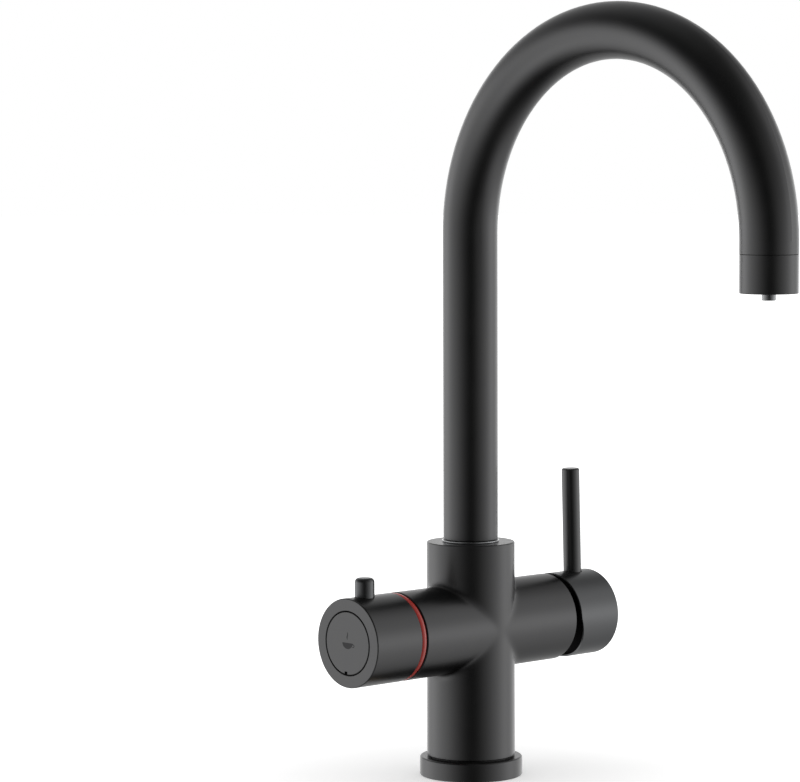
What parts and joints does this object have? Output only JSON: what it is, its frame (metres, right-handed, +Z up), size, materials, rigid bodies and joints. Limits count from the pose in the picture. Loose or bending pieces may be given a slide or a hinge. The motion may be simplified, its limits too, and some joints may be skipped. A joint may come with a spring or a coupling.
{
  "type": "boiling water tap",
  "caption": "Kitchen tap with a tall round swivel spout on a cross-shaped body, a locked boiling water knob with a red ring on one arm and a pin-lever mixer on the other",
  "frame": {"origin": "centre of the base ring's underside, on the top surface of the worktop", "axes": "+Z up, the spout reaches towards -Y (to the user), the boiling knob is at -X and the mixer lever at +X"},
  "size_m": [0.1715, 0.2402, 0.4515],
  "materials": {
    "black_metal": "brass with a fine matte black coating",
    "raw_brass": "machined brass",
    "steel": "plain stainless steel",
    "bright_steel": "polished stainless steel",
    "dark_steel": "blackened steel",
    "black_rubber": "black sealing rubber",
    "red_plastic": "red satin plastic",
    "black_plastic": "satin black plastic",
    "dark_plastic": "dark glass-filled plastic",
    "white_plastic": "white acetal",
    "cream_plastic": "cream heat-resistant plastic",
    "grey_plastic": "light grey plastic",
    "blue_plastic": "blue moulded plastic",
    "gloss_black": "glossy black plastic",
    "ceramic_white": "lapped white alumina ceramic"
  },
  "bodies": {
    "tap_body": {"body": "black_metal", "base_ring": "black_metal", "base_seal": "black_rubber", "inlet_block": "raw_brass", "inlet_block_seals": "black_rubber", "shank": "raw_brass", "deck_rubber_washer": "black_rubber", "deck_steel_washer": "steel", "deck_nut": "raw_brass", "slip_ring": "bright_steel", "spout_bush": "white_plastic", "spout_grub_screw": "dark_steel", "riser": "raw_brass", "riser_seal": "black_rubber", "red_ring": "red_plastic", "valve_body": "raw_brass", "valve_gasket": "black_rubber", "valve_seat_seal": "black_rubber", "valve_fixed_disc": "ceramic_white", "stop_ring": "dark_steel", "cartridge_base": "white_plastic", "cartridge_seals": "black_rubber", "cartridge_fixed_disc": "ceramic_white", "cartridge_shell": "blue_plastic", "cartridge_nut": "raw_brass", "dome_cover": "gloss_black"},
    "spout": {"spout_tube": "black_metal", "spout_stem": "raw_brass", "spout_seals": "black_rubber", "boiling_pipe": "steel", "outlet_insert": "raw_brass", "nozzle_sleeve": "black_metal", "aerator_housing": "grey_plastic", "flow_straightener": "grey_plastic", "aerator_washer": "black_rubber", "boiling_nozzle": "bright_steel"},
    "boiling_knob": {"knob": "black_metal", "knob_peg": "black_metal", "knob_hub": "cream_plastic", "knob_screw": "steel", "stop_pin": "steel", "valve_spindle": "raw_brass", "spindle_seal": "black_rubber", "spindle_clip": "dark_steel", "valve_moving_disc": "ceramic_white", "button_spring": "bright_steel"},
    "button": {"safety_button": "black_plastic"},
    "turret": {"cartridge_turret": "white_plastic", "pivot_pin": "steel"},
    "moving_disc": {"cartridge_moving_disc": "ceramic_white", "disc_carrier": "dark_plastic"},
    "lever": {"lever_cap": "black_metal", "lever_rod": "black_metal", "lever_stem": "steel", "lever_grub_screw": "dark_steel", "grub_plug": "black_plastic"}
  },
  "joints": [
    {"name": "spout_swivel", "type": "hinge", "parent": "tap_body", "child": "spout", "pos_m": [0, 0, 0.11], "axis": [0, 0, 1], "range_deg": [-90, 90]},
    {"name": "knob_turn", "type": "hinge", "parent": "tap_body", "child": "boiling_knob", "pos_m": [-0.06, 0, 0.076], "axis": [1, 0, 0], "range_deg": [0, 90]},
    {"name": "button_press", "type": "slide", "parent": "boiling_knob", "child": "button", "axis": [1, 0, 0], "range_m": [0, 0.003], "stiffness_N_per_m": 900, "springref_m": -0.002, "deforming": ["button_spring"]},
    {"name": "temperature_turn", "type": "hinge", "parent": "tap_body", "child": "turret", "pos_m": [0.045, 0, 0.076], "axis": [1, 0, 0], "range_deg": [-50, 50]},
    {"name": "flow_tilt", "type": "hinge", "parent": "turret", "child": "lever", "pos_m": [0.045, 0, 0.076], "axis": [0, 1, 0], "range_deg": [0, 25]},
    {"name": "disc_slide", "type": "slide", "parent": "turret", "child": "moving_disc", "axis": [0, 0, 1], "range_m": [0, 0.0042]}
  ],
  "couplings": [
    {"joint": "disc_slide", "follows": "flow_tilt", "m_per_rad": 0.0094}
  ]
}
